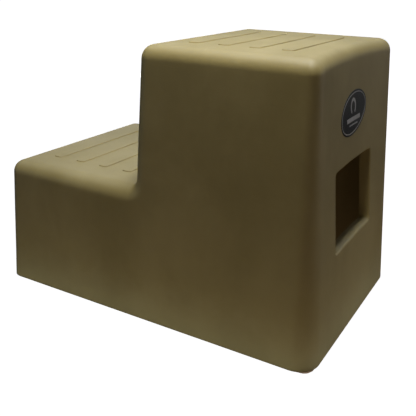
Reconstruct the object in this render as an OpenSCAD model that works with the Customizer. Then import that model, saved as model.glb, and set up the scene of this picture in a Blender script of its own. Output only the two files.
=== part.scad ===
// Two-step mounting block for stables, rotationally moulded in one hollow piece.
// Long axis along X with the low step at -X, width along Y, floor at z = 0, origin at the
// middle of the footprint. Every wall leans in as it rises, so that the mould can be drawn.

/* [Body] */
// Length at the floor
body_l = 695; // [640:1:840]
// Width at the floor
body_w = 450; // [370:1:540]
// Height of the upper tread above the floor
body_h = 508; // [450:1:610]
// Height of the lower tread above the floor
step_h = 256; // [210:1:310]
// Length of the tall part, measured along the floor
upper_l = 383; // [320:1:420]
// Thickness of the moulded wall
wall = 6; // [4:0.5:9]

/* [Draft: millimetres that a wall leans in for each millimetre of height] */
// Lean of both long sides
side_lean = 0.056; // [0.02:0.001:0.08]
// Lean of the front of the low step
front_lean = 0.054; // [0.02:0.001:0.08]
// Lean of the riser between the treads
riser_lean = 0.044; // [0.02:0.001:0.08]
// Lean of the tall end wall
end_lean = 0.068; // [0.02:0.001:0.09]
// Hollow of the end wall in the middle of its top edge
end_bow = 20; // [0:1:26]

/* [Rounding] */
// Round-over where the treads meet the walls
edge_r = 24; // [14:1:30]
// Radius of the upright corners at the front foot
front_corner_r = 26; // [16:1:60]
// Radius of the upright corners at the foot of the tall end
end_corner_r = 40; // [26:1:70]
// Radius of the inside corner between the lower tread and the riser
notch_r = 14; // [6:1:24]

/* [Tread ribs] */
// Ribs on each tread
rib_count = 4; // [3:1:5]
// Distance from a tread's long edges to the ends of its ribs
rib_end = 72; // [50:1:90]
// Width of a rib
rib_w = 22; // [14:1:30]
// Height of a rib above its tread
rib_h = 1.8; // [1:0.1:4]
// Distance from a tread's front and back edges to the nearest rib
rib_margin = 55; // [40:1:70]
// Radius of a rib's corners in plan
rib_corner_r = 7; // [3:0.5:7]

/* [Window] */
// Width of the window in the tall end
window_w = 196; // [120:1:230]
// Height of the window
window_h = 144; // [80:1:175]
// Depth of the middle of the window below the upper tread
window_down = 268; // [230:1:300]
// Radius of the window's corners
window_r = 7; // [3:0.5:20]
// Depth of the return moulded round the window
return_d = 22; // [12:1:40]

/* [Label] */
// Length of the oval label
label_w = 137; // [80:1:150]
// Width of the oval label
label_h = 74; // [50:1:90]
// How far the right end of the oval is turned up, in degrees
label_turn = 9; // [0:1:15]
// Depth of the middle of the label below the upper tread
label_down = 111; // [90:1:125]
// Thickness of the adhesive under the label
adhesive_t = 0.2; // [0.1:0.05:0.4]
// Thickness of the label's black film
film_t = 0.4; // [0.2:0.05:0.8]
// Thickness of the printed ink
print_t = 0.15; // [0.1:0.05:0.3]
// Thickness of the clear film over the print
clear_t = 0.25; // [0.2:0.05:0.5]
// How far the adhesive stays back from the label's rim
adhesive_back = 1; // [0.5:0.5:3]
// Distance of the printed ring from the label's rim
ring_in = 3.4; // [2:0.2:6]
// Width of the printed ring
ring_w = 1.6; // [1:0.2:3]
// Height of the printed horseshoe
shoe_h = 30; // [20:1:34]
// Width of the printed bars
bar_w = 70; // [40:1:76]

/* [Hidden] */

shell_col = "#9b9167";
adhesive_col = "#d8d6c8";
film_col = "#26282b";
print_col = "#b9bbbc";
clear_col = "#dfe6ea";

arc_steps = 6;                  // segments in each corner of the side outline
fillet_steps = 6;               // segments in the round-over along each side
span_steps = 28;                // segments across the width between the round-overs
fade_steps = 4;                 // segments of the upper tread where the hollow fades out
end_steps = 8;                  // segments down the end wall
oval_steps = 8;                 // half the segments across the label
ring_steps = 48;                // segments round the printed ring
shoe_steps = 24;                // segments round the horseshoe
bar_steps = 6;                  // segments along a printed bar
corner_r = edge_r + 1;          // outline corners keep a small radius after the round-over
notch_fillet = edge_r + 4;      // round-over at the inside corner
draw_past = 10;                 // how far cutters run beyond what they cut
floor_cut = 2;                  // how far the cavity runs out below the floor
rib_sink = 2;                   // part of a rib that is buried in the tread
rib_slope = 0.6;                // how much narrower a rib is at its top, each side
plan_fn = 28;                   // facets of a full turn in small plan corners
label_gap = 0.05;               // lets the flat facets of the wall and of the label lie clear

window_z = body_h - window_down;                // heights of the middles of both
label_z = body_h - label_down;
riser_x = body_l / 2 - upper_l;                 // riser line where it would meet the floor
bow_x = (riser_x + body_l / 2) / 2;             // the hollow of the end fades out here
shoe_bar = shoe_h * 0.19;                       // widest part of the horseshoe's bar
shoe_heel = 0.7;                                // bar's width at the heels as a share of shoe_bar
shoe_gap = 76;                                  // opening between its heels, in degrees
shoe_narrow = 0.9;                              // its width as a share of its height
mark_z = label_h * 0.15;                        // the horseshoe sits this far above the middle
bar_z = [-0.14, -0.27] * label_h;               // heights of the two printed bars
bar_t = [7.5, 2.4];                             // their thicknesses
bar_share = [1, 0.62];                          // their lengths as shares of bar_w

// Distance from the middle plane to a long side at height z
function half_w(z) = body_w / 2 - side_lean * z;

// Outer surface of the end wall at y, z
function end_x(y, z) =
    body_l / 2 - end_lean * z - end_bow * z / body_h * (1 - pow(y / half_w(z), 2));

// Arc points round c from angle a0 to a1
function arc(c, r, a0, a1) =
    [for (i = [0:arc_steps]) let (a = a0 + (a1 - a0) * i / arc_steps) c + r * [cos(a), sin(a)]];

// Centre of a corner of radius r: d is the distance of its centre from the line x = x0 + lean * z
function centre(x0, lean, zc, d) = [x0 + lean * zc + d * sqrt(1 + lean * lean), zc];

// Side outline as [x, z], front foot first, then over both treads to the end foot.
// t moves every wall in by that much; c, from 0 to 1, draws the outline in for the round-over.
function outline(t, c, foot) =
    let (
        r = corner_r - t,
        k = edge_r - t,
        front = centre(-body_l / 2 + t, front_lean, step_h - corner_r, r),
        notch = centre(riser_x + t, riser_lean, step_h + notch_r, -notch_r - t),
        riser = centre(riser_x + t, riser_lean, body_h - corner_r, r),
        tall = centre(body_l / 2 - t, -end_lean, body_h - corner_r, -r),
        hollow_r = notch_r + t + (notch_fillet - t) * c
    )
    concat(
        [[-body_l / 2 + t + front_lean * foot + (front_corner_r - t) * c, foot]],
        arc(front, r - k * c, 180 - atan(front_lean), 90),
        arc(notch, hollow_r, 270, 360 - atan(riser_lean)),
        arc(riser, r - k * c, 180 - atan(riser_lean), 90),
        [for (i = [0:fade_steps - 1])
            [bow_x + i / fade_steps * (tall.x - bow_x), body_h - corner_r + r - k * c]],
        arc(tall, r - k * c, 90, atan(end_lean)),
        [for (i = [end_steps - 1:-1:0]) let (
            top = tall + (r - k * c) * [cos(atan(end_lean)), sin(atan(end_lean))],
            low = [body_l / 2 - t - end_lean * foot - (end_corner_r - t) * c, foot]
        ) low + i / end_steps * (top - low)]
    );

// Round-over radius at each point of the outline, in the same order
function rounding(t) =
    concat(
        [front_corner_r - t],
        [for (i = [0:arc_steps]) edge_r - t],
        [for (i = [0:arc_steps]) notch_fillet - t],
        [for (i = [0:arc_steps]) edge_r - t],
        [for (i = [0:fade_steps - 1]) edge_r - t],
        [for (i = [0:arc_steps]) edge_r - t],
        [for (i = [end_steps - 1:-1:0]) end_corner_r - t + i / end_steps * (edge_r - end_corner_r)]
    );

// Draws the end wall in: nothing at its upright edges and foot, end_bow at the top's middle
function bowed(p) =
    let (
        far = body_l / 2 - end_lean * p.z,
        across = max(0, 1 - pow(p.y / half_w(p.z), 2)),
        along = max(0, (p.x - bow_x) / (far - bow_x))
    )
    [p.x - end_bow * max(0, p.z) / body_h * across * along, p.y, p.z];

// Rounded, hollow-ended block with every wall moved in by t (out, where t is below 0)
module block(t, foot) {
    rho = rounding(t);
    n = len(rho);
    fillet = [for (i = [0:fillet_steps]) 90 - 90 * i / fillet_steps];
    half = [for (a = fillet) let (o = outline(t, 1 - cos(a), foot))
        [for (j = [0:n - 1]) [o[j].x, half_w(o[j].y) - t - rho[j] * (1 - sin(a)), o[j].y]]];
    edge = half[fillet_steps];
    rings = concat(
        half,
        [for (i = [1:span_steps - 1]) let (s = 1 - 2 * i / span_steps)
            [for (p = edge) [p.x, p.y * s, p.z]]],
        [for (i = [fillet_steps:-1:0]) [for (p = half[i]) [p.x, -p.y, p.z]]]
    );
    m = len(rings);
    points = [for (ring = rings) for (p = ring) bowed(p)];
    sides = [for (i = [0:m - 2]) for (j = [0:n - 1]) let (
            a = i * n + j,
            b = i * n + (j + 1) % n
        ) each [[a, b, b + n], [a, b + n, a + n]]];
    caps = [
        [for (j = [n - 1:-1:0]) j],
        [for (j = [0:n - 1]) (m - 1) * n + j]
    ];
    polyhedron(points, concat(sides, caps), convexity = 10);
}

// The window's outline, grown all round, from the middle of the tall part out to x1
module window_slab(grow, x1) {
    hull()
        for (y = [-1, 1], z = [-1, 1])
            translate([bow_x, y * (window_w / 2 - window_r), window_z + z * (window_h / 2 - window_r)])
                rotate([0, 90, 0])
                    cylinder(h = x1 - bow_x, r = window_r + grow, $fn = plan_fn);
}

// Return round the window: a collar as thick as the wall that follows the end wall inwards
module window_return() {
    difference() {
        intersection() {
            block(0, 0);
            window_slab(wall, body_l / 2);
        }
        translate([-return_d, 0, 0])
            block(0, -floor_cut);
    }
}

// Raised ribs across a tread at height z, whose front and back edges are at x0 and x1
module rib_row(x0, x1, z) {
    first = x0 + rib_margin + rib_w / 2;
    last = x1 - rib_margin - rib_w / 2;
    dx = rib_w / 2 - rib_corner_r;
    dy = half_w(z) - rib_end - rib_corner_r;
    for (i = [0:rib_count - 1])
        translate([first + (last - first) * i / (rib_count - 1), 0, z - rib_sink])
            hull()
                for (j = [-1, 1], k = [-1, 1])
                    translate([j * dx, k * dy, 0])
                        cylinder(h = rib_h + rib_sink, r1 = rib_corner_r,
                                 r2 = rib_corner_r - rib_slope, $fn = plan_fn);
}

module shell() {
    color(shell_col)
        difference() {
            union() {
                difference() {
                    block(0, 0);
                    block(wall, -floor_cut);
                }
                window_return();
                rib_row(-body_l / 2 + front_lean * step_h, riser_x + riser_lean * step_h, step_h);
                rib_row(riser_x + riser_lean * body_h, end_x(0, body_h), body_h);
            }
            window_slab(0, body_l / 2 + draw_past);
        }
}

// Thin layer lying on the end wall from height t0 to t1 above it. The grid gives its shape as rows
// of [y, z] measured from the middle of the label; a closed grid joins its last column to its first.
module layer(grid, t0, t1, closed = false) {
    rows = len(grid);
    cols = len(grid[0]);
    n = rows * cols;
    points = [for (t = [t0, t1]) for (row = grid) for (p = row)
        let (z = label_z + p.y) [end_x(p.x, z) + label_gap + t, p.x, z]];
    spans = closed ? cols : cols - 1;
    faces = [for (i = [0:rows - 2]) for (j = [0:spans - 1]) let (
            a = i * cols + j,
            b = i * cols + (j + 1) % cols
        ) each [
            [n + a, n + a + cols, n + b + cols], [n + a, n + b + cols, n + b],
            [a, b + cols, a + cols], [a, b, b + cols]
        ]];
    rims = [for (j = [0:spans - 1]) let (
            k = (j + 1) % cols,
            top = n - cols
        ) each [
            [n + j, n + k, k], [n + j, k, j],
            [n + top + k, n + top + j, top + j], [n + top + k, top + j, top + k]
        ]];
    ends = closed ? [] : [for (i = [0:rows - 2]) let (
            a = i * cols,
            b = a + cols,
            right = cols - 1
        ) each [
            [n + b, n + a, a], [n + b, a, b],
            [n + a + right, n + b + right, b + right], [n + a + right, b + right, a + right]
        ]];
    polyhedron(points, concat(faces, rims, ends), convexity = 4);
}

// Place on the label measured along its turned oval
function turned(p) =
    [p.x * cos(label_turn) - p.y * sin(label_turn), p.x * sin(label_turn) + p.y * cos(label_turn)];

// Grid of an oval disc as large as the label less the inset all round
function oval(inset) =
    let (w = label_w / 2 - inset, h = label_h / 2 - inset)
    [for (i = [-oval_steps:oval_steps]) let (v = i / oval_steps)
        [for (j = [-oval_steps:oval_steps]) let (u = j / oval_steps)
            turned([w * u * sqrt(1 - v * v / 2), h * v * sqrt(1 - u * u / 2)])]];

// Grid of an oval ring whose outer edge is that far inside the label's rim
function oval_ring(inset, width) =
    [for (k = [inset + width, inset])
        [for (j = [0:ring_steps - 1]) let (a = -360 * j / ring_steps)
            turned([(label_w / 2 - k) * cos(a), (label_h / 2 - k) * sin(a)])]];

// Grid of an upright horseshoe, open at the bottom, whose bar narrows towards its heels
function horseshoe(r, bar, gap) =
    [for (side = [1, 0])
        [for (j = [0:shoe_steps]) let (
            turn = j / shoe_steps,
            a = 270 - gap / 2 - (360 - gap) * turn,
            inner = r - bar * (shoe_heel + (1 - shoe_heel) * sin(180 * turn))
        ) [0, mark_z] + (side == 1 ? inner : r) * [cos(a) * shoe_narrow, sin(a)]]];

// Grid of a plain bar
function bar(w, h, z) =
    [for (v = [-0.5, 0.5]) [for (j = [0:bar_steps]) [(j / bar_steps - 0.5) * w, z + v * h]]];

module label_adhesive() {
    color(adhesive_col)
        layer(oval(adhesive_back), 0, adhesive_t);
}

module label_film() {
    color(film_col)
        layer(oval(0), adhesive_t, adhesive_t + film_t);
}

module label_print() {
    low = adhesive_t + film_t;
    high = low + print_t;
    color(print_col) {
        layer(oval_ring(ring_in, ring_w), low, high, closed = true);
        layer(horseshoe(shoe_h / 2, shoe_bar, shoe_gap), low, high);
        for (i = [0, 1])
            layer(bar(bar_w * bar_share[i], bar_t[i], bar_z[i]), low, high);
    }
}

module label_overlaminate() {
    low = adhesive_t + film_t + print_t;
    color(clear_col)
        layer(oval(0), low, low + clear_t);
}

shell();
label_adhesive();
label_film();
label_print();
label_overlaminate();
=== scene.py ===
# %% [markdown]
# # A two-step mounting block
#
# Riders climb on a block like this to reach the stirrup. It is one hollow shell of polyethylene:
# powder is tumbled in a hot closed mould until it has melted on to every wall, the moulding is
# drawn out, its base and its window are trimmed open, and an oval vinyl label goes on the end.
#
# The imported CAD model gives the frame, the size and the place of each part. This script makes the
# surfaces that are seen: the moulded shell and the layers of the label.

# %% The frame
import math

import bpy
import numpy as np
from mathutils import Matrix, Vector


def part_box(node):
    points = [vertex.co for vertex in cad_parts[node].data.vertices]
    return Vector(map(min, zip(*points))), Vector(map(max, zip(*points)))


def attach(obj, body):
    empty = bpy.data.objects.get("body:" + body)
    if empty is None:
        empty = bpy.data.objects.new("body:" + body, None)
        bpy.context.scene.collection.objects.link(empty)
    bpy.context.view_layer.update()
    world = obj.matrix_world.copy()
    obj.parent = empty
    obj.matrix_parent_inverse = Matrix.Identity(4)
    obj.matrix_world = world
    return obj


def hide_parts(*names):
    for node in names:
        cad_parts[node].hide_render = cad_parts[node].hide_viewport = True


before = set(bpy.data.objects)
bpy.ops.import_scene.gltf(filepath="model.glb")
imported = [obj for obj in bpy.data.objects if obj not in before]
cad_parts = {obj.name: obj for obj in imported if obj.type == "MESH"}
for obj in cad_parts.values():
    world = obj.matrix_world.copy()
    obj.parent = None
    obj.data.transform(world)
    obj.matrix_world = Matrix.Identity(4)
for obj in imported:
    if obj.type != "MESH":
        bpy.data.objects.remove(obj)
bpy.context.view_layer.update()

MM = 0.001
shell_low, shell_high = (np.array(corner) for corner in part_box("shell"))
print("CAD shell from", shell_low.round(4), "to", shell_high.round(4))

# %% [markdown]
# ## The moulding's main sizes
#
# Length, width and height come from the frame. The rest are the sizes a pattern maker would set:
# the wall, how far each wall leans in as it rises so that the mould can be drawn, and the radii.
# The tall end wall has pulled in a little while it cooled, most of all in the middle of its top
# edge, which shows as a hollow curve there.

# %% Driving sizes
RIB_H = 1.8 * MM
BODY_L = shell_high[0] - shell_low[0]
BODY_W = shell_high[1] - shell_low[1]
BODY_H = shell_high[2] - RIB_H
STEP_H = 256 * MM
UPPER_L = 383 * MM
WALL = 6 * MM
FOOT = 0.8 * MM                 # height of the small chamfer left where the foot was trimmed

SIDE_LEAN = 0.056
FRONT_LEAN = 0.054
RISER_LEAN = 0.044
END_LEAN = 0.068
END_BOW = 20 * MM

EDGE_R = 24.5 * MM
FRONT_CORNER_R = 26 * MM
END_CORNER_R = 40 * MM
NOTCH_R = 14 * MM
NOTCH_FILLET = EDGE_R + 4 * MM

RISER_X = BODY_L / 2 - UPPER_L
BOW_X = (RISER_X + BODY_L / 2) / 2
print("body", round(BODY_L, 4), round(BODY_W, 4), round(BODY_H, 4))

# %% [markdown]
# ## Helpers for surfaces
#
# Every new piece is a set of grids of points. A grid is an array of rows and columns, and each
# block of four neighbours is a face. Grids that share a border are welded by position, so a shell
# can be put together from a few simple sheets, and a hole is a block of cells left out.

# %% Grids, strips and welding
WELD = 0.0137 * MM              # points nearer than about this become one
SHARP = math.radians(35)        # faces that meet at more than this show an edge


def quads(rows, cols):
    """Corner indices of every cell of a grid: cell (i, j) joins points (i, j), (i, j + 1),
    (i + 1, j + 1) and (i + 1, j). The result keeps the grid's own rows and columns."""
    i, j = np.meshgrid(np.arange(rows - 1), np.arange(cols - 1), indexing="ij")
    a = i * cols + j
    return np.stack([a, a + 1, a + cols + 1, a + cols], -1)


def strips(rows):
    """Faces between neighbouring closed loops, each given as a row of point numbers."""
    ids = np.stack(rows)
    nxt = np.roll(ids, -1, axis=1)
    return np.stack([ids[:-1], nxt[:-1], nxt[1:], ids[1:]], -1).reshape(-1, 4)


def weld(points, faces):
    """Makes points that agree to WELD into one. Gives the points left, the faces in their new
    numbers, and the new number of each old point."""
    key = np.round(points / WELD).astype(np.int64)
    _, first, inverse = np.unique(key, axis=0, return_index=True, return_inverse=True)
    inverse = inverse.reshape(-1)
    return points[first], inverse[faces], inverse


def point_normals(points, faces):
    """Normal of each point: the sum of its faces' area vectors, made one unit long."""
    a, b, c, d = (points[faces[:, k]] for k in range(4))
    area = np.cross(c - a, d - b)
    total = np.zeros_like(points)
    for k in range(4):
        np.add.at(total, faces[:, k], area)
    return total / np.maximum(np.linalg.norm(total, axis=1, keepdims=True), 1e-12)


def sound_faces(faces):
    """Drops a corner that repeats its neighbour, so a cell that ends in a point becomes a
    triangle, and leaves out cells with no area."""
    shorter = ([v for n, v in enumerate(f) if v != f[n - 1]] for f in faces.tolist())
    return [f for f in shorter if len(set(f)) > 2]


def open_edges(faces):
    """How many edges have an odd number of faces: a closed mesh has none."""
    a = np.stack([faces, np.roll(faces, -1, axis=1)], -1).reshape(-1, 2)
    a = np.sort(a[a[:, 0] != a[:, 1]], axis=1)
    _, count = np.unique(a, axis=0, return_counts=True)
    return int((count % 2).sum())


def volume(points, faces):
    """Volume inside a closed mesh, in litres: the sum of the cones from the origin to each face."""
    a, b, c, d = (points[faces[:, k]] for k in range(4))
    return float((a * (np.cross(b, c) + np.cross(c, d))).sum()) / 6 * 1000


def make_piece(name, points, faces, finish, tone=None):
    """A mesh object at the origin from points and faces, smooth up to the angle SHARP. tone is a
    value for each point that the finish may read as the attribute of that name."""
    points, faces, place = weld(points, faces)
    values = np.zeros(len(points))
    if tone is not None:
        values[place] = tone
    used = np.unique(faces)
    number = np.zeros(len(points), np.int64)
    number[used] = np.arange(len(used))
    faces, points, values = number[faces], points[used], values[used]
    mesh = bpy.data.meshes.new(name)
    mesh.from_pydata(points.tolist(), [], sound_faces(faces))
    mesh.validate()
    mesh.attributes.new("tone", "FLOAT", "POINT").data.foreach_set("value", values)
    mesh.materials.append(finish)
    mesh.shade_smooth()
    mesh.set_sharp_from_angle(angle=SHARP)
    piece = bpy.data.objects.new(name, mesh)
    bpy.context.collection.objects.link(piece)
    print(f"{name}: {len(points)} points, {len(mesh.polygons)} faces,",
          f"{open_edges(faces)} open edges, {volume(points, faces):.5f} litres")
    return piece


# %% [markdown]
# ## The side outline
#
# Seen from the side the block is an L: front wall, lower tread, riser, upper tread, end wall. The
# outline is straight walls joined by arcs. It could be drawn once and thickened, but the long
# edges are rounded too, so the outline is worked out for each station of that round-over: at
# station c (0 on the broad middle, 1 on the flat side) every wall has moved in by its own radius
# times c. The outer arcs shrink round fixed centres until they are points, and the arc of the
# inside corner grows. The treads have extra stations beside each rib, where cells are cut out.

# %% Where the ribs are
RIB_COUNT = 4
RIB_W = 22 * MM
RIB_END = 72 * MM
RIB_MARGIN = 55 * MM
RIB_CORNER_R = 7 * MM
RIB_PAD = RIB_W / 2 + 6 * MM    # half the width of the block of cells cut out for a rib
RIB_CELLS = 8                   # cells across that block


def rib_places(x0, x1):
    """Middles of the ribs of a tread that runs from x0 to x1."""
    reach = RIB_MARGIN + RIB_W / 2
    return np.linspace(x0 + reach, x1 - reach, RIB_COUNT)


low_ribs = rib_places(-BODY_L / 2 + FRONT_LEAN * STEP_H, RISER_X + RISER_LEAN * STEP_H)
high_ribs = rib_places(RISER_X + RISER_LEAN * BODY_H, BODY_L / 2 - END_LEAN * BODY_H - END_BOW)
print("ribs at", low_ribs.round(3), "and", high_ribs.round(3))

# %% Outline of the block at one station of the round-over
WALL_STEPS = 44
RISER_STEPS = 18
ARC_STEPS = 12


def arc(middle, radius, start, stop):
    """Points round a middle from angle start to angle stop."""
    a = np.linspace(start, stop, ARC_STEPS + 1)
    return np.stack([middle[0] + radius * np.cos(a), middle[1] + radius * np.sin(a)], -1)


def between(a, b, shares):
    """Points that lie those shares of the way from a to b."""
    return a + (b - a) * np.asarray(shares)[:, None]


def middle_of(x0, lean, z, reach):
    """Middle of an arc at height z whose distance from the line x = x0 + lean z is reach."""
    return np.array([x0 + lean * z + reach * math.sqrt(1 + lean * lean), z])


FRONT_ARC = middle_of(-BODY_L / 2, FRONT_LEAN, STEP_H - EDGE_R, EDGE_R)
NOTCH_ARC = middle_of(RISER_X, RISER_LEAN, STEP_H + NOTCH_R, -NOTCH_R)
RISER_ARC = middle_of(RISER_X, RISER_LEAN, BODY_H - EDGE_R, EDGE_R)
END_ARC = middle_of(BODY_L / 2, -END_LEAN, BODY_H - EDGE_R, -EDGE_R)


def tread_shares(x0, x1, ribs):
    """Stations of a tread from x0 to x1 as shares of its length: those of each rib's block of
    cells, and one in the middle of each plain stretch."""
    block = ribs[:, None] + RIB_PAD * np.linspace(-1, 1, RIB_CELLS + 1)
    plain_from = np.append(x0, block[:, -1])
    plain_to = np.append(block[:, 0], x1)
    x = np.sort(np.concatenate([block.ravel(), (plain_from + plain_to) / 2]))
    return (x - x0) / (x1 - x0)


even = np.arange(1, WALL_STEPS) / WALL_STEPS
low_shares = tread_shares(FRONT_ARC[0], NOTCH_ARC[0], low_ribs)
high_shares = tread_shares(RISER_ARC[0], END_ARC[0], high_ribs)
RUNS = [("front", WALL_STEPS), ("front_arc", ARC_STEPS), ("low_tread", len(low_shares) + 1),
        ("notch", ARC_STEPS), ("riser", RISER_STEPS), ("riser_arc", ARC_STEPS),
        ("high_tread", len(high_shares) + 1), ("end_arc", ARC_STEPS), ("end", WALL_STEPS)]
STOPS = np.cumsum([0] + [steps for _, steps in RUNS])
START = {name: int(stop) for (name, _), stop in zip(RUNS, STOPS)}


def outline(c):
    """The L outline as [x, z], from the front foot over both treads to the end foot. Each wall is
    drawn in by its round-over radius times c."""
    r = EDGE_R * (1 - c)
    arcs = [arc(FRONT_ARC, r, math.pi - math.atan(FRONT_LEAN), math.pi / 2),
            arc(NOTCH_ARC, NOTCH_R + NOTCH_FILLET * c, 1.5 * math.pi,
                2 * math.pi - math.atan(RISER_LEAN)),
            arc(RISER_ARC, r, math.pi - math.atan(RISER_LEAN), math.pi / 2),
            arc(END_ARC, r, math.pi / 2, math.atan(END_LEAN))]
    front_foot = np.array([-BODY_L / 2 + FRONT_LEAN * FOOT + FRONT_CORNER_R * c, FOOT])
    end_foot = np.array([BODY_L / 2 - END_LEAN * FOOT - END_CORNER_R * c, FOOT])
    riser_even = np.arange(1, RISER_STEPS) / RISER_STEPS
    return np.concatenate([
        front_foot[None], between(front_foot, arcs[0][0], even),
        arcs[0], between(arcs[0][-1], arcs[1][0], low_shares),
        arcs[1], between(arcs[1][-1], arcs[2][0], riser_even),
        arcs[2], between(arcs[2][-1], arcs[3][0], high_shares),
        arcs[3], between(arcs[3][-1], end_foot, even), end_foot[None],
    ])


# round-over radius at each point of the outline, easing from one run's value to the next
radius = np.interp(np.arange(STOPS[-1] + 1), STOPS,
                   [FRONT_CORNER_R, EDGE_R, EDGE_R, NOTCH_FILLET, NOTCH_FILLET,
                    EDGE_R, EDGE_R, EDGE_R, EDGE_R, END_CORNER_R])
print("outline of", STOPS[-1] + 1, "points")

# %% [markdown]
# ## The outer skin
#
# The outline is carried across the width. On the way it passes the round-over stations of one long
# side, the broad middle, and the stations of the other side. Then each flat side is filled by
# straight lines from its foot up to its top edge: the side is a leaning plane, so straight lines
# lie in it exactly. A loft could do all this, but then the flat sides would bulge.

# %% Broad middle and long edges
FILLET_STEPS = 12
SPAN_STEPS = 44


def half_w(z):
    """Distance from the middle plane to a long side at height z."""
    return BODY_W / 2 - SIDE_LEAN * z


def end_x(y, z):
    """x of the end wall's outer surface: it leans, and it is hollow by END_BOW in proportion to
    height and to one less the square of y as a share of the half width."""
    return BODY_L / 2 - END_LEAN * z - END_BOW * z / BODY_H * (1 - (y / half_w(z)) ** 2)


def bowed(points):
    """Draws points in towards the hollow of the end wall, fading out along the tall part."""
    x, y, z = np.moveaxis(points, -1, 0)
    far = BODY_L / 2 - END_LEAN * z
    along = np.clip((x - BOW_X) / (far - BOW_X), 0, None)
    return np.stack([x - (far - end_x(y, z)) * along, y, z], -1)


turn = np.linspace(math.pi / 2, 0, FILLET_STEPS + 1)
long_edge = np.stack([outline(1 - math.cos(a)) for a in turn], 1)
edge_y = half_w(long_edge[..., 1]) - radius[:, None] * (1 - np.sin(turn))
share = np.linspace(1, -1, SPAN_STEPS + 1)
broad = long_edge[:, -1:, :].repeat(SPAN_STEPS + 1, 1)
broad_y = edge_y[:, -1:] * share
x = np.concatenate([long_edge[..., 0], broad[:, 1:-1, 0], long_edge[:, ::-1, 0]], 1)
y = np.concatenate([edge_y, broad_y[:, 1:-1], -edge_y[:, ::-1]], 1)
z = np.concatenate([long_edge[..., 1], broad[:, 1:-1, 1], long_edge[:, ::-1, 1]], 1)
skin = bowed(np.stack([x, y, z], -1))
print("broad skin", skin.shape)

# %% Flat sides
RISER_FAN = 0.4                 # foot length given to the riser, as a share of the riser's height


def side_sheet(side):
    """Grid between a side's foot and its top edge. Column u is a straight line from foot point
    B(u) to top point T(u). B moves along as T does, and fans out a little under the riser."""
    top = outline(1.0)[STOPS[1]:STOPS[-2] + 1]
    step = np.hypot(*np.diff(top, axis=0).T)
    way = np.append(0, np.cumsum(step))
    corner = [0, START["riser"] - STOPS[1], START["riser_arc"] - STOPS[1], len(top) - 1]
    front_foot, end_foot = outline(1.0)[[0, -1]]
    under = top[corner[1], 0]
    fan = under + RISER_FAN * (top[corner[2], 1] - top[corner[1], 1])
    foot_x = np.interp(way, way[corner], [front_foot[0], under, fan, end_foot[0]])
    foot = np.stack([foot_x, np.full_like(foot_x, FOOT)], -1)
    v = np.linspace(0, 1, WALL_STEPS + 1)[:, None, None]
    grid = foot + (top - foot) * v
    return np.stack([grid[..., 0], side * half_w(grid[..., 1]), grid[..., 1]], -1)


near, far_side = side_sheet(-1), side_sheet(1)
print("side sheets", near.shape)

# %% [markdown]
# ## Welding the skin and leaving cells out
#
# The three sheets become one list of points and faces. The window's block of cells is left out of
# the wall altogether. The ribs are raised only on the outside, so their blocks are left out of the
# outer skin and kept for the inner one.

# %% Blocks of cells for the window and the ribs
WINDOW_W = 196 * MM
WINDOW_H = 144 * MM
WINDOW_Z = BODY_H - 268 * MM
WINDOW_R = 7 * MM
RETURN_D = 22 * MM
BLOCK_PAD = 14 * MM


def block(i0, i1, half_width):
    """Rows i0 to i1 of the skin and the columns that reach just past half_width on both sides."""
    inside = np.abs(skin[i0:i1 + 1, :, 1]).min(0) < half_width
    j = np.flatnonzero(inside)
    return i0, i1, int(j[0]) - 1, int(j[-1]) + 1


def rows_past(z_low, z_high):
    """Rows of the end wall just outside a band of heights."""
    first = START["end"]
    heights = skin[first:, skin.shape[1] // 2, 2]
    return first + int(np.sum(heights > z_high)) - 1, first + int(np.sum(heights > z_low))


def rib_blocks(run, height):
    """The block of each rib of a tread. A plain stretch of two cells lies before each one."""
    first = [START[run] + 2 + (RIB_CELLS + 2) * k for k in range(RIB_COUNT)]
    return [block(i, i + RIB_CELLS, half_w(height) - RIB_END) for i in first]


top_row, low_row = rows_past(WINDOW_Z - WINDOW_H / 2 - BLOCK_PAD, WINDOW_Z + WINDOW_H / 2 + BLOCK_PAD)
window_block = block(top_row, low_row, WINDOW_W / 2 + BLOCK_PAD)
ribs = [(spot, STEP_H, b) for spot, b in zip(low_ribs, rib_blocks("low_tread", STEP_H))]
ribs += [(spot, BODY_H, b) for spot, b in zip(high_ribs, rib_blocks("high_tread", BODY_H))]
print("window block", window_block, "rib blocks", [b for _, _, b in ribs])

# %% One skin
ROWS, COLS = skin.shape[:2]
cells = quads(ROWS, COLS)
in_window = np.zeros(cells.shape[:2], bool)
in_rib = np.zeros(cells.shape[:2], bool)
i0, i1, j0, j1 = window_block
in_window[i0:i1, j0:j1] = True
for _, _, (i0, i1, j0, j1) in ribs:
    in_rib[i0:i1, j0:j1] = True

side_cells = quads(*near.shape[:2]).reshape(-1, 4)
near_start = ROWS * COLS
far_start = near_start + near.shape[0] * near.shape[1]
side_faces = np.concatenate([side_cells + near_start, side_cells[:, ::-1] + far_start])
all_points = np.concatenate([s.reshape(-1, 3) for s in (skin, near, far_side)])
all_faces = np.concatenate([cells[~in_window], side_faces])
outer, faces_in, place = weld(all_points, all_faces)
faces_out = place[np.concatenate([cells[~in_window & ~in_rib], side_faces])]
grid_ids = place[:near_start].reshape(ROWS, COLS)


def block_loop(i0, i1, j0, j1):
    """Point numbers round the border of a block of cells, without the first one repeated."""
    ids = grid_ids
    return np.concatenate([ids[i0, j0:j1], ids[i0:i1, j1], ids[i1, j1:j0:-1], ids[i1:i0:-1, j0]])


normals = point_normals(outer, faces_in)
on_tread = grid_ids[START["low_tread"] + 5, COLS // 2]
print("outer skin", len(outer), "points; normal on the lower tread", normals[on_tread].round(2))

# %% [markdown]
# ## Slow waves in the walls
#
# A hot moulding is soft when it is drawn, and big flat walls never cool quite flat. A sum of a few
# long sine waves, less than half a millimetre deep, gives reflections their slight wander. It only
# ever moves the wall inwards, and it dies away at the foot, the treads and the end wall, so that
# the block stands flat and the label lies flat.

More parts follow.
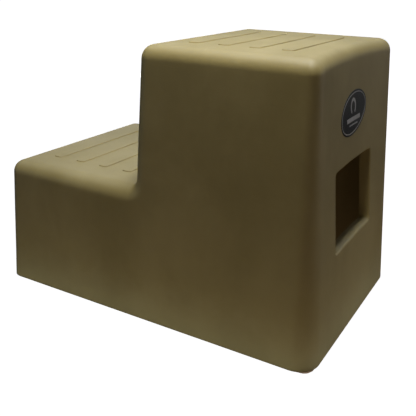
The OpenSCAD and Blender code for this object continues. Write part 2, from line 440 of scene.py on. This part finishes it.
# %% Waves
WAVE = 0.5 * MM
CALM_FOOT, CALM_RISE = 10 * MM, 60 * MM     # flat up to this height, then full over this climb
CALM_END = 60 * MM                          # flat this far in front of the end wall
INNER_FOOT = 0.3 * MM                       # the inner skin's lowest points


def smoothstep(t):
    """0 below 0, 1 above 1 and 3t^2 - 2t^3 between."""
    t = np.clip(t, 0.0, 1.0)
    return t * t * (3 - 2 * t)


def waves(p):
    """Between 0 and 1: three crossed sine waves, 0.2 to 0.45 m long."""
    a = np.sin(14 * p[:, 0] + 9 * p[:, 2] + 1.1) + np.sin(23 * p[:, 2] - 8 * p[:, 0] + 6 * p[:, 1])
    return 0.5 + (a + np.sin(31 * p[:, 0] + 12 * p[:, 2] + 0.4)) / 6


calm = smoothstep((outer[:, 2] - CALM_FOOT) / CALM_RISE) * (1 - smoothstep(normals[:, 2] / 0.5))
calm *= 1 - smoothstep((outer[:, 0] - BOW_X) / (end_x(0.0, outer[:, 2]) - CALM_END - BOW_X))
outer = outer - normals * (WAVE * calm * waves(outer))[:, None]
inner = outer - normals * WALL
inner[:, 2] = np.maximum(inner[:, 2], INNER_FOOT)
print("deepest wave", round(float((WAVE * calm * waves(outer)).max() / MM), 3), "mm")

# %% [markdown]
# ## Window, ribs and foot
#
# Each of these is a profile carried round a closed loop. The window's profile turns in over a
# small lip, runs along the return that the mould core left, crosses the trimmed end and comes back
# behind the wall. A rib's profile climbs a steep little wall and crosses to the middle. The foot's
# profile crosses the cut under the wall, with a small chamfer on each side where a knife took the
# flash off. The first and last rows use the skin's own points, so nothing has to be welded there.

# %% Rounded rectangles
def loop_square(cols, rows):
    """A walk round a square of side 2 that has cols steps along its first side and rows steps along
    its second. A sine crowds the points towards the corners."""
    u = np.linspace(-1, 1, cols + 1)[:-1]
    v = np.linspace(-1, 1, rows + 1)[:-1]
    one_u, one_v = np.ones(cols), np.ones(rows)
    walk = np.concatenate([np.stack([u, -one_u], -1), np.stack([one_v, v], -1),
                           np.stack([-u, one_u], -1), np.stack([-one_v, -v], -1)])
    return np.sin(walk * math.pi / 2)


def rounded(walk, half_u, half_v, corner):
    """The walk laid on a rectangle with round corners: a point is drawn back to the inner
    rectangle that the corners' middles make, and then goes out by the corner's radius."""
    corner = max(corner, 0.0)
    sharp = walk * [half_u, half_v]
    core = np.clip(sharp, [corner - half_u, corner - half_v], [half_u - corner, half_v - corner])
    out = sharp - core
    length = np.linalg.norm(out, axis=1, keepdims=True)
    return core + corner * out / np.maximum(length, 1e-9)


print("walk round a 4 by 3 block has", len(loop_square(4, 3)), "points")

# %% Window
LIP = 3.5 * MM
TRIM = 0.5 * MM                 # chamfer along every trimmed edge
BACK_FILLET = 5 * MM
LIP_STEPS = 6
RETURN_STEPS = 4
BACK_STEPS = 5
spare = [outer, inner]          # point lists still to be joined, in order
more_faces = []
tones = [np.zeros(len(outer)), np.ones(len(inner))]


def add_rows(rows, tone):
    """Puts new rows of points on the list and gives the numbers they will have."""
    start = sum(len(p) for p in spare)
    spare.append(np.concatenate(rows))
    tones.append(np.repeat(tone, len(rows[0])))
    return [start + k * len(rows[0]) + np.arange(len(rows[0])) for k in range(len(rows))]


def window_row(walk, grow, depth):
    """The window's outline grown by grow, on the end wall, moved in by depth."""
    u, v = rounded(walk, WINDOW_W / 2 + grow, WINDOW_H / 2 + grow, WINDOW_R + grow).T
    y, z = -u, WINDOW_Z - v
    return np.stack([end_x(y, z) - depth, y, z], -1)


def on_wall(p):
    """Points put back on the end wall at their own y and z."""
    return np.stack([end_x(p[:, 1], p[:, 2]), p[:, 1], p[:, 2]], -1)


i0, i1, j0, j1 = window_block
border = block_loop(*window_block)
walk = loop_square(j1 - j0, i1 - i0)
lip_start = window_row(walk, LIP, 0)
way_in = np.linspace(0, 1, LIP_STEPS + 1)[1:]
rows = [on_wall(outer[border] + (lip_start - outer[border]) * t) for t in way_in]
for a in way_in * math.pi / 2:
    rows.append(window_row(walk, LIP * (1 - math.sin(a)), LIP * (1 - math.cos(a))))
depths = np.linspace(LIP, RETURN_D - TRIM, RETURN_STEPS + 1)[1:]
rows += [window_row(walk, 0, depth) for depth in depths]
rows += [window_row(walk, TRIM, RETURN_D), window_row(walk, WALL - TRIM, RETURN_D)]
outside_rows = len(rows)
rows += [window_row(walk, WALL, depth) for depth in (RETURN_D - TRIM, WALL + BACK_FILLET)]
for a in np.linspace(0, math.pi / 2, BACK_STEPS + 1)[1:]:
    rows.append(window_row(walk, WALL + BACK_FILLET * (1 - math.cos(a)),
                           WALL + BACK_FILLET * (1 - math.sin(a))))
rows += [rows[-1] + (inner[border] - rows[-1]) * t for t in (0.4, 0.75)]
tone = (np.arange(len(rows)) >= outside_rows).astype(float)
more_faces.append(strips([border] + add_rows(rows, tone) + [border + len(outer)]))
print("window sheet", len(rows), "rows of", len(border))

# %% Ribs
# How far out of a rib's outline and how high each row is, from its foot to its top edge
RIB_PROFILE = np.array([[1.0, 0.0], [0.45, 0.05], [0.1, 0.3], [-0.15, 0.9],
                        [-0.4, 1.45], [-0.7, 1.7], [-1.2, 1.8]]) * MM


def rib_row(walk, spot, half_y, grow, height):
    """The outline of a rib grown by grow, at a height. Its long sides run across the block."""
    u, v = rounded(walk, half_y + grow, RIB_W / 2 + grow, RIB_CORNER_R + grow).T
    return np.stack([spot + v, -u, np.full_like(u, height)], -1)


for spot, tread, (i0, i1, j0, j1) in ribs:
    walk = loop_square(j1 - j0, i1 - i0)
    border = block_loop(i0, i1, j0, j1)
    half_y = half_w(tread) - RIB_END
    rows = [rib_row(walk, spot, half_y, grow, tread + height) for grow, height in RIB_PROFILE]
    rows[:0] = [outer[border] + (rows[0] - outer[border]) * 0.6]
    rows += [rib_row(walk, spot, half_y, -d, tread + RIB_H)
             for d in np.linspace(-RIB_PROFILE[-1, 0], RIB_W / 2, 5)[1:]]
    more_faces.append(strips([border] + add_rows(rows, np.zeros(len(rows)))))
print("ribs:", len(ribs), "of", len(rows), "rows")

# %% Foot
near_cols = near.shape[1]
around = np.concatenate([grid_ids[0], place[near_start:near_start + near_cols],
                         grid_ids[-1, ::-1], place[far_start:far_start + near_cols][::-1]])[::-1]
around = around[around != np.roll(around, 1)]
cut = TRIM / WALL
rows = [outer[around] + (inner[around] - outer[around]) * t for t in (cut, 1 - cut)]
for row in rows:
    row[:, 2] = 0
more_faces.append(strips([around] + add_rows(rows, np.array([0.0, 1.0])) + [around + len(outer)]))
print("foot loop of", len(around), "points")

# %% [markdown]
# ## Shader sums as Python expressions
#
# A finish is a small tree of nodes. Writing it as sums keeps it readable: a Field wraps one output
# socket, and adding or multiplying fields adds the Math node that does it. Every other node comes
# from one method that sets the node's own options first and then fills its sockets.

# %% Fields and finishes
class Field:
    """One output socket of a node, which can be used in sums with numbers and other fields."""

    def __init__(self, finish, socket):
        self.finish = finish
        self.socket = socket

    def sum(self, operation, a, b):
        """Adds the Math node of an operation on a and b."""
        return self.finish.node("Math", {"operation": operation}, {0: a, 1: b})

    def __add__(self, other):
        return self.sum("ADD", self, other)

    def __radd__(self, other):
        return self.sum("ADD", other, self)

    def __sub__(self, other):
        return self.sum("SUBTRACT", self, other)

    def __rsub__(self, other):
        return self.sum("SUBTRACT", other, self)

    def __mul__(self, other):
        return self.sum("MULTIPLY", self, other)

    def __rmul__(self, other):
        return self.sum("MULTIPLY", other, self)


class Finish:
    """A material under construction: one Principled shader and the nodes that feed it."""

    def __init__(self, name, **constants):
        self.material = bpy.data.materials.new(name)
        self.material.use_nodes = True
        self.tree = self.material.node_tree
        self.shader = self.tree.nodes["Principled BSDF"]
        for socket, value in constants.items():
            self.shader.inputs[socket.replace("_", " ")].default_value = value
        self.here = self.node("TexCoord", {}, {}, "Object")
        self.facing = self.node("TexCoord", {}, {}, "Normal")

    def node(self, kind, settings, sockets, output=0):
        """Adds a node of a kind, sets its options, then its sockets by value or by link."""
        made = self.tree.nodes.new("ShaderNode" + kind)
        for option, value in settings.items():
            setattr(made, option, value)
        for socket, value in sockets.items():
            self.fill(made.inputs[socket], value)
        return Field(self, made.outputs[output])

    def fill(self, socket, value):
        """Joins a field to a socket, or sets the socket to a plain value."""
        if isinstance(value, Field):
            self.tree.links.new(value.socket, socket)
        else:
            socket.default_value = value

    def noise(self, scale, detail, roughness, stretch=(1, 1, 1), distortion=0.0):
        """Noise from about 0 to 1 on the piece's own coordinates; scale is in features a metre."""
        spot = self.node("Mapping", {}, {"Vector": self.here, "Scale": stretch})
        return self.node("TexNoise", {}, {"Vector": spot, "Scale": scale, "Detail": detail,
                                          "Roughness": roughness, "Distortion": distortion})

    def smooth(self, field, low, high):
        """0 below low, 1 above high, with a smooth step between."""
        return self.node("MapRange", {"interpolation_type": "SMOOTHSTEP"},
                         {"Value": field, "From Min": low, "From Max": high})

    def mix(self, share, a, b):
        """Colour a where share is 0 and colour b where it is 1."""
        full = [(*c, 1) if isinstance(c, tuple) else c for c in (a, b)]
        return self.node("Mix", {"data_type": "RGBA"}, {0: share, 6: full[0], 7: full[1]}, 2)

    def bump(self, height, distance, strength):
        """Tilts the surface by a height from 0 to 1 that stands for a distance in metres."""
        return self.node("Bump", {}, {"Height": height, "Distance": distance, "Strength": strength})

    def wear(self, **fields):
        """Joins fields to the shader's sockets."""
        for socket, field in fields.items():
            self.fill(self.shader.inputs[socket.replace("_", " ")], field)
        print("finish", self.material.name, "has", len(self.tree.nodes), "nodes")
        return self.material


# %% [markdown]
# ## The moulded plastic
#
# Rotomoulding powder is coloured all through, so the plastic has one pigment that clouds a little
# where the powder lay thicker. The mould is bead-blasted: outside, the skin has a fine even grain
# over a slight orange peel, and a dull sheen. Inside, the melt flowed freely, so it is smoother and
# shinier. Boots leave pale scuffs on the treads, and dust settles on what faces up.

# %% Moulded plastic
KHAKI_DARK = (0.292, 0.239, 0.101)
KHAKI_PALE = (0.372, 0.310, 0.146)
DUST = (0.520, 0.480, 0.330)


def moulded_plastic():
    """Pigment in soft clouds, streaks and specks, with dust and scuffs on the treads and a splash
    line at the foot. Outside the skin is grained, and inside it is smoother and shinier."""
    f = Finish("khaki_polyethylene", IOR=1.5, Specular_IOR_Level=0.45)
    inside = f.node("Attribute", {"attribute_name": "tone"}, {}, "Fac")
    outside = 1 - inside
    up = f.node("SeparateXYZ", {}, {"Vector": f.facing}, "Z")
    height = f.node("SeparateXYZ", {}, {"Vector": f.here}, "Z")
    tread = f.smooth(up, 0.55, 0.95) * outside

    cloud = f.noise(5.0, 4.0, 0.6, distortion=0.4)
    streak = f.noise(9.0, 5.0, 0.6, stretch=(1, 1, 0.3))
    speck = f.noise(1400.0, 1.0, 0.5)
    grain = f.noise(620.0, 2.0, 0.6)
    peel = f.noise(120.0, 2.0, 0.5)
    scrape = f.smooth(f.noise(26.0, 6.0, 0.65, stretch=(1, 0.16, 1)), 0.60, 0.74)
    heel = f.smooth(f.noise(7.0, 3.0, 0.5), 0.42, 0.62)
    splash = f.smooth(0.06 + 0.10 * f.noise(22.0, 5.0, 0.7) - height, 0.0, 0.09)

    tint = f.mix(f.smooth(0.65 * cloud + 0.35 * streak, 0.33, 0.67), KHAKI_DARK, KHAKI_PALE)
    tint = f.mix(f.smooth(speck, 0.60, 0.72) * 0.22, tint, KHAKI_PALE)
    tint = f.mix(f.smooth(speck, 0.40, 0.28) * 0.22, tint, KHAKI_DARK)
    scuffs = tread * scrape * heel
    dust = tread * (0.16 + 0.18 * streak)
    tint = f.mix(dust, tint, DUST)
    tint = f.mix(scuffs * 0.30, tint, DUST)
    tint = f.mix(splash * outside * 0.16, tint, DUST)

    rough = 0.50 + 0.10 * cloud + 0.05 * grain + 0.08 * scuffs - 0.14 * inside
    relief = grain * outside + 1.5 * peel
    return f.wear(Base_Color=tint, Roughness=rough, Normal=f.bump(relief, 0.16 * MM, 0.55))


plastic = moulded_plastic()

# %% The moulding
moulding = make_piece(
    "moulding", np.concatenate(spare),
    np.concatenate([faces_out, faces_in[:, ::-1] + len(outer), *more_faces]),
    plastic, tone=np.concatenate(tones))
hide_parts("shell")
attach(moulding, "root")

# %% [markdown]
# ## The label
#
# The label is a stack: adhesive, black film, print, and a clear film that keeps rain off the print.
# Each is a thin closed sheet that follows the hollow end wall. A bent plane would do from afar, but
# the layers' rims catch light as real cut vinyl does. The oval is turned a little, and the mark on
# it stands upright: a plain horseshoe over two bars, a stand-in of no maker.

# %% Where the layers lie
film_low, film_high = (np.array(corner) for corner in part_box("label_film"))
LABEL_Z = (film_high[2] + film_low[2]) / 2
LABEL_W, LABEL_H, LABEL_TURN = 137 * MM, 74 * MM, math.radians(9)
GAP = 0.05 * MM
ADHESIVE_T, FILM_T, PRINT_T, CLEAR_T = (np.array([0.2, 0.4, 0.15, 0.25]) * MM)
ADHESIVE_BACK = 1 * MM          # how far the adhesive stays back from the film's edge
AROUND = 160                    # points round the oval
RIM_STEPS = 4
levels = np.cumsum([GAP, ADHESIVE_T, FILM_T, PRINT_T, CLEAR_T])
print("label middle", LABEL_Z.round(4), "high, levels", (levels / MM).round(2), "mm")


def on_end(y, z, level):
    """Points at that level above the end wall, from places measured from the label's middle."""
    z = LABEL_Z + z
    return np.stack([end_x(y, z) + level, y, z], -1)


def oval_at(size, inset):
    """Points round the label's oval, as rows of [y, z]: shrunk by a share, drawn in by an inset
    and turned."""
    a = np.linspace(0, 2 * math.pi, AROUND, endpoint=False)
    y, z = size * (LABEL_W / 2 - inset) * np.cos(a), size * (LABEL_H / 2 - inset) * np.sin(a)
    c, s = math.cos(LABEL_TURN), math.sin(LABEL_TURN)
    return np.stack([y * c - z * s, y * s + z * c], -1)


def round_rim(low, high):
    """Profile of a cut edge as [inset, level]: up from low to high with a small rounding."""
    r = min(0.4 * (high - low), 0.08 * MM)
    a = np.linspace(0, math.pi / 2, RIM_STEPS)
    top = np.stack([r * (1 - np.cos(a)), high - r * (1 - np.sin(a))], -1)
    return np.concatenate([[[r, low], [0, low + r]], top])


# %% Discs, rings, bars and the horseshoe
def oval_sheet(back, low, high):
    """A closed oval disc: rings from the middle of its underside out, up its rim and back to the
    middle of its top. Ring k is the oval drawn in, or a share of it towards the middle."""
    rim = round_rim(low, high)
    shares = np.linspace(0, 1, 9)[:-1]
    way = [(rim[0, 0], s, low) for s in shares] + [(i, 1.0, level) for i, level in rim]
    way += [(rim[-1, 0], s, high) for s in shares[::-1]]
    rings = [on_end(*oval_at(share, back + inset).T, level) for inset, share, level in way]
    ids = [k * AROUND + np.arange(AROUND) for k in range(len(rings))]
    return np.concatenate(rings), strips(ids)


def ribbon(left, right, low, high, closed):
    """A thin strip whose two edges are given as rows of [y, z]. Its section is a closed loop: the
    underside, one cut edge, the top and the other edge."""
    across = np.array([[0, low], [1, low], [1, high], [0, high]])
    section = [on_end(*(left + (right - left) * s).T, level) for s, level in across]
    grid = np.stack(section, 1)
    n = len(grid)
    ids = np.arange(n * 4).reshape(n, 4)
    faces = strips(list(ids) + ([ids[0]] if closed else []))
    if not closed:
        faces = np.concatenate([faces, [ids[0, ::-1]], [ids[-1]]])
    points = grid.reshape(-1, 3)
    return points, faces if volume(points, faces) > 0 else faces[:, ::-1]


def join(parts):
    """Several pieces' points and faces as one list of each."""
    starts = np.cumsum([0] + [len(p) for p, _ in parts])
    return (np.concatenate([p for p, _ in parts]),
            np.concatenate([f + s for (_, f), s in zip(parts, starts)]))


RING_IN, RING_W = 3.4 * MM, 1.6 * MM
SHOE_H, SHOE_GAP, SHOE_NARROW = 30 * MM, math.radians(76), 0.9
SHOE_BAR, SHOE_HEEL = 0.19 * SHOE_H, 0.7
SHOE_STEPS = 60
MARK_Z = 0.15 * LABEL_H
BAR_W = 70 * MM
BARS = [(BAR_W, 7.5 * MM, -0.14 * LABEL_H), (0.62 * BAR_W, 2.4 * MM, -0.27 * LABEL_H)]


def shoe_edges():
    """Outer and inner edge of the horseshoe: circles squeezed in width, open at the heel by
    SHOE_GAP, with a bar that is widest at the crown."""
    turn = np.linspace(0, 1, SHOE_STEPS)
    a = 1.5 * math.pi - SHOE_GAP / 2 - (2 * math.pi - SHOE_GAP) * turn
    bar = SHOE_BAR * (SHOE_HEEL + (1 - SHOE_HEEL) * np.sin(math.pi * turn))
    way = np.stack([SHOE_NARROW * np.cos(a), np.sin(a)], -1)
    middle = np.array([0, MARK_Z])
    return middle + SHOE_H / 2 * way, middle + (SHOE_H / 2 - bar)[:, None] * way


def bar_edges(width, thick, z):
    """Upper and lower edge of a plain bar."""
    y = np.linspace(-width / 2, width / 2, 9)
    return [np.stack([y, np.full_like(y, z + side * thick / 2)], -1) for side in (1, -1)]


low, high = levels[2], levels[3]
printed = [ribbon(oval_at(1, RING_IN), oval_at(1, RING_IN + RING_W), low, high, True),
           ribbon(*shoe_edges(), low, high, False)]
printed += [ribbon(*bar_edges(*bar), low, high, False) for bar in BARS]
print("printed shapes:", len(printed))

# %% [markdown]
# ## Finishes of the label
#
# Vinyl is smoother than the moulding, but it follows the grain of the wall under it a little. The
# ink is slightly uneven, as screen print is. The clear film is only gloss, so most of it is see
# through.

# %% Label finishes
def vinyl(name, colour, paler, roughness, **constants):
    """A satin film: faint mottling of two shades, uneven gloss and the grain of the wall below."""
    f = Finish(name, **constants)
    mottle = f.noise(90.0, 4.0, 0.6)
    dust = f.smooth(f.noise(500.0, 3.0, 0.7), 0.62, 0.74)
    tint = f.mix(f.smooth(mottle, 0.35, 0.7), colour, paler)
    grain = f.noise(420.0, 2.0, 0.5)
    return f.wear(Base_Color=tint, Roughness=roughness + 0.12 * mottle + 0.10 * dust,
                  Normal=f.bump(grain, 0.08 * MM, 0.4))


glue = vinyl("clear_glue", (0.42, 0.39, 0.27), (0.50, 0.47, 0.34), 0.45)
black_film = vinyl("black_vinyl", (0.006, 0.007, 0.008), (0.012, 0.013, 0.014), 0.40)
ink = vinyl("grey_ink", (0.40, 0.41, 0.42), (0.52, 0.53, 0.54), 0.42)
clear_film = vinyl("clear_vinyl", (0.30, 0.31, 0.32), (0.36, 0.37, 0.38), 0.22, Alpha=0.02)

# %% The label's layers
for name, node, (points, faces), finish, slot in [
        ("glue_layer", "label_adhesive", oval_sheet(ADHESIVE_BACK, levels[0], levels[1]),
         glue, "label_adhesive"),
        ("film_layer", "label_film", oval_sheet(0, levels[1], levels[2]), black_film, "label_black"),
        ("print_layer", "label_print", join(printed), ink, "label_ink"),
        ("clear_layer", "label_overlaminate", oval_sheet(0, levels[3], levels[4]),
         clear_film, "label_clear")]:
    if volume(points, faces) < 0:
        faces = faces[:, ::-1]
    layer = make_piece(name, points, faces, finish)
    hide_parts(node)
    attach(layer, "root")

# %% [markdown]
# ## Floor, light and camera
#
# The block stands on a white floor in the middle of a pale dome, which only the camera sees, so
# that the ground round it is plain from every side. The light comes from two soft boxes above,
# which make the treads bright, and from four lower ones round the block. A white floor also throws
# light back at the foot of each wall. Here a dull floor and three glowing bands do that, unseen by
# the camera and brightest next to the block, because their strength can be set one by one. A white
# floor lit by the lamps would be simpler, but it would light the walls too evenly. The floor inside
# the block is painted shade: a dim glowing sheet stands for its shadow, and shows through the window.

# %% Pieces of the studio
GLOW_Z = -0.2 * MM              # just under the foot, so that nothing touches the block
DULL_Z = -0.3 * MM
COVE_Z = -0.5 * MM


def studio_piece(name, points, faces, colour, glow):
    """A matte piece of the studio, which glows by itself with a strength of glow."""
    mesh = bpy.data.meshes.new(name)
    mesh.from_pydata([tuple(p) for p in points], [], [tuple(f) for f in faces])
    piece = bpy.data.objects.new(name, mesh)
    bpy.context.collection.objects.link(piece)
    f = Finish(name + "_finish", Roughness=0.9, Emission_Strength=glow, Specular_IOR_Level=0.0)
    shade = f.mix(f.noise(3.0, 3.0, 0.5), tuple(0.98 * c for c in colour), colour)
    mesh.materials.append(f.wear(Base_Color=shade, Emission_Color=shade))
    piece.visible_glossy = False
    return piece


def footprint(grow, z):
    """A loop round the block's footprint, grown by so much, with its round corners."""
    u, v = rounded(loop_square(24, 16), BODY_L / 2 + grow, BODY_W / 2 + grow, EDGE_R + grow).T
    return np.stack([u, v, np.full_like(u, z)], -1)


def band(name, start, stop, colour):
    """A flat glowing band round the block, from start to stop outside its footprint."""
    inside, outside = footprint(start, GLOW_Z), footprint(stop, GLOW_Z)
    n = len(inside)
    return studio_piece(name, np.concatenate([inside, outside]),
                        strips([np.arange(n), np.arange(n, 2 * n)]), colour, 1.0)


# %% Cove
COVE_R = 20.0
COVE_TIP = 0.02                 # radius of the small discs that close the dome
COVE_SIDES = 64
COVE_STEPS = 24
climb = np.linspace(0, math.pi / 2, COVE_STEPS + 1)[:-1]
turn = np.linspace(0, 2 * math.pi, COVE_SIDES, endpoint=False)
profile = [(COVE_TIP, COVE_Z), (COVE_R / 2, COVE_Z)]
profile += list(zip(COVE_R * np.cos(climb), COVE_R * np.sin(climb) + COVE_Z))
profile += [(COVE_TIP, COVE_R)]
rings = [np.stack([r * np.cos(turn), r * np.sin(turn), np.full_like(turn, z)], -1)
         for r, z in profile]
ids = np.arange(len(rings) * COVE_SIDES).reshape(-1, COVE_SIDES)
cove = studio_piece("cove", np.concatenate(rings),
                    list(strips(list(ids))) + [ids[0, ::-1], ids[-1]], (0.9, 0.9, 0.9), 1.2)
cove.visible_diffuse = False
cove.visible_shadow = False

# %% Floor near the block
FLOOR_HALF = 2.0
square = [(x, y, DULL_Z) for x, y in FLOOR_HALF * np.array([(-1, -1), (1, -1), (1, 1), (-1, 1)])]
dull = studio_piece("dull_floor", square, [(0, 1, 2, 3)], (0.16, 0.13, 0.09), 0.0)
near_glow = band("near_glow", 2 * MM, 70 * MM, (0.350, 0.335, 0.262))
middle_glow = band("middle_glow", 70 * MM, 250 * MM, (0.247, 0.186, 0.110))
far_glow = band("far_glow", 250 * MM, 900 * MM, (0.088, 0.054, 0.042))
for unseen in (dull, near_glow, middle_glow, far_glow):
    unseen.visible_camera = False
# painted shade: this dim glowing sheet under the block stands for the shadow on the floor inside it
under = footprint(-WALL / 2, GLOW_Z)
studio_piece("painted_shade_floor", under, [range(len(under))], (0.117, 0.084, 0.056), 1.0)

# %% Light
world = bpy.data.worlds.new("studio")
bpy.context.scene.world = world
world.use_nodes = True
backdrop = world.node_tree.nodes["Background"]
backdrop.inputs["Strength"].default_value = 0.0


def softbox(name, spot, aim, width, depth, watts, colour):
    """An area light at a place, turned to face a point."""
    light = bpy.data.lights.new(name, "AREA")
    light.shape = "RECTANGLE"
    light.size, light.size_y = width, depth
    light.energy = watts
    light.color = colour
    holder = bpy.data.objects.new(name, light)
    bpy.context.collection.objects.link(holder)
    holder.location = spot
    holder.rotation_euler = (Vector(aim) - Vector(spot)).to_track_quat("-Z", "Y").to_euler()
    return holder


softbox("overhead", (0.15, -0.25, 1.6), (0.15, -0.25, 0.0), 0.32, 0.40, 20.0, (0.86, 0.81, 0.63))
softbox("overhead_back", (0.15, 0.20, 1.6), (0.15, 0.20, 0.0), 0.32, 0.32, 5.6, (0.35, 0.51, 1.05))
softbox("right_fill", (2.4, 1.6, 0.9), (0.3, 0.0, 0.25), 1.2, 1.2, 10.8, (1.0, 1.0, 1.0))
softbox("left_fill", (-2.2, -1.4, 0.5), (0.0, 0.0, 0.2), 1.0, 0.8, 2.4, (0.6, 1.0, 1.4))
softbox("corner_fill", (1.7, -1.7, 0.5), (0.3, -0.2, 0.2), 0.8, 0.8, 1.2, (1.10, 0.95, 0.85))
softbox("back_fill", (-1.8, 2.0, 0.4), (0.0, 0.0, 0.2), 1.2, 0.8, 7.0, (1.0, 1.0, 1.0))
bpy.context.scene.view_settings.view_transform = "Standard"

# %% Camera
CAMERA_AT = (0.6139, -1.0284, 0.6262)
TURN, DOWN, ROLL = (math.radians(a) for a in (30.17, 21.55, 0.973))
lens = bpy.data.cameras.new("camera")
lens.sensor_width = 36.0
lens.lens = 52.46
camera = bpy.data.objects.new("camera", lens)
bpy.context.collection.objects.link(camera)
camera.matrix_world = (Matrix.Translation(CAMERA_AT) @ Matrix.Rotation(TURN, 4, "Z")
                       @ Matrix.Rotation(math.pi / 2 - DOWN, 4, "X") @ Matrix.Rotation(ROLL, 4, "Z"))
bpy.context.scene.camera = camera
print("camera at", CAMERA_AT)

# %% Update the view layer
bpy.context.view_layer.update()
